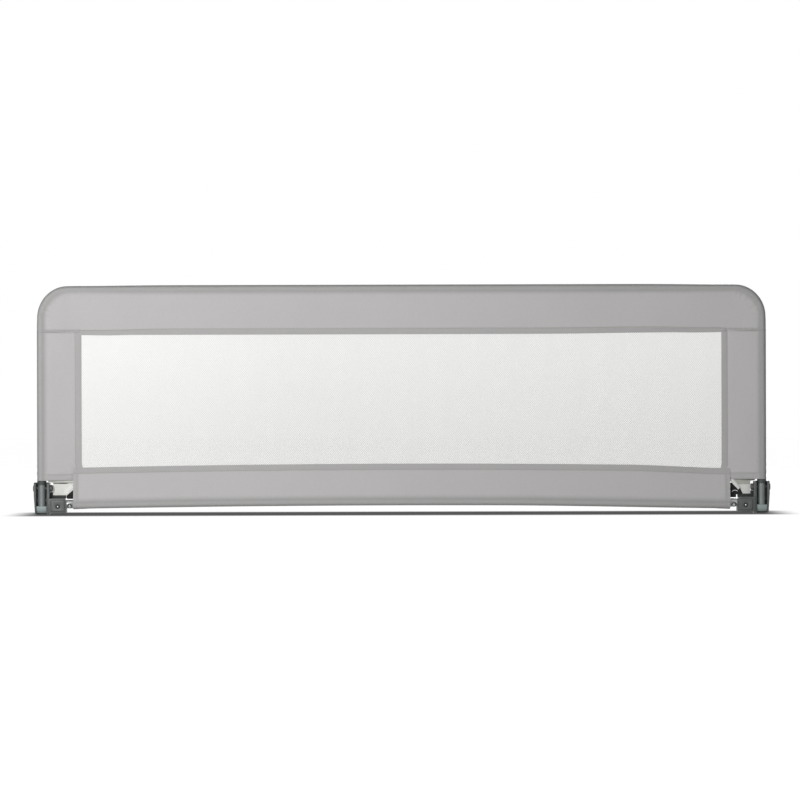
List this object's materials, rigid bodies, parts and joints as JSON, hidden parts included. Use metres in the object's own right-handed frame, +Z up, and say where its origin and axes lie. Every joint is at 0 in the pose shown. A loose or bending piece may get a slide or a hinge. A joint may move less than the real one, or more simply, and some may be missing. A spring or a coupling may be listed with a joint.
{
  "type": "folding bed guard rail",
  "caption": "Fabric-covered tube guard rail with a net window that folds down on two bed brackets with legs under the mattress.",
  "frame": {"origin": "on the floor, below the middle of the rail's length, halfway between the bracket fronts and the ends of the legs", "axes": "+X along the rail, to the right as seen from outside the bed; +Y under the mattress, along the legs; +Z up"},
  "size_m": [1.5, 0.43, 0.467],
  "materials": {
    "moulded_grey": "satin",
    "moulded_pale": "satin",
    "moulded_dark": "satin",
    "painted_tube": "satin",
    "zinc_tube": "satin",
    "bright_steel": "polished",
    "cover_fabric": "matte",
    "net": "matte",
    "lining": "matte",
    "hook_tape": "matte"
  },
  "bodies": {
    "base": {"left_bracket": "moulded_grey", "right_bracket": "moulded_grey", "left_hinge_pin": "bright_steel", "right_hinge_pin": "bright_steel", "left_box_rivet": "bright_steel", "right_box_rivet": "bright_steel", "left_tube_washer": "moulded_dark", "right_tube_washer": "moulded_dark", "left_tube_screw": "bright_steel", "right_tube_screw": "bright_steel", "left_leg_tube": "painted_tube", "right_leg_tube": "painted_tube", "left_leg_screw": "bright_steel", "right_leg_screw": "bright_steel", "left_leg_foot": "moulded_dark", "right_leg_foot": "moulded_dark", "bottom_tube": "zinc_tube"},
    "rail": {"left_frame_tube": "painted_tube", "right_frame_tube": "painted_tube", "left_tube_foot": "moulded_pale", "right_tube_foot": "moulded_pale", "left_foot_rivet": "bright_steel", "right_foot_rivet": "bright_steel", "left_lock_spring": "bright_steel", "right_lock_spring": "bright_steel", "left_collar": "moulded_dark", "right_collar": "moulded_dark", "left_joint_screw": "bright_steel", "right_joint_screw": "bright_steel", "left_lining_flap": "lining", "right_lining_flap": "lining", "left_hook_tape": "hook_tape", "right_hook_tape": "hook_tape", "top_tube": "painted_tube", "cover_top": "cover_fabric", "cover_left": "cover_fabric", "cover_right": "cover_fabric", "cover_bottom": "cover_fabric", "mesh_window": "net"},
    "left_outer_release": {"left_outer_button": "moulded_grey"},
    "left_inner_release": {"left_inner_button": "moulded_grey"},
    "right_outer_release": {"right_outer_button": "moulded_grey"},
    "right_inner_release": {"right_inner_button": "moulded_grey"}
  },
  "joints": [
    {"name": "fold", "type": "hinge", "parent": "base", "child": "rail", "pos_m": [0, -0.201, 0.013], "axis": [1, 0, 0], "range_deg": [0, 180], "deforming": ["left_lock_spring", "right_lock_spring", "cover_bottom"]},
    {"name": "left_outer_press", "type": "slide", "parent": "base", "child": "left_outer_release", "axis": [1, 0, 0], "range_m": [0, 0.0018], "stiffness_N_per_m": 900, "deforming": ["left_lock_spring"]},
    {"name": "left_inner_press", "type": "slide", "parent": "base", "child": "left_inner_release", "axis": [-1, 0, 0], "range_m": [0, 0.0018], "stiffness_N_per_m": 900, "deforming": ["left_lock_spring"]},
    {"name": "right_outer_press", "type": "slide", "parent": "base", "child": "right_outer_release", "axis": [-1, 0, 0], "range_m": [0, 0.0018], "stiffness_N_per_m": 900, "deforming": ["right_lock_spring"]},
    {"name": "right_inner_press", "type": "slide", "parent": "base", "child": "right_inner_release", "axis": [1, 0, 0], "range_m": [0, 0.0018], "stiffness_N_per_m": 900, "deforming": ["right_lock_spring"]}
  ]
}
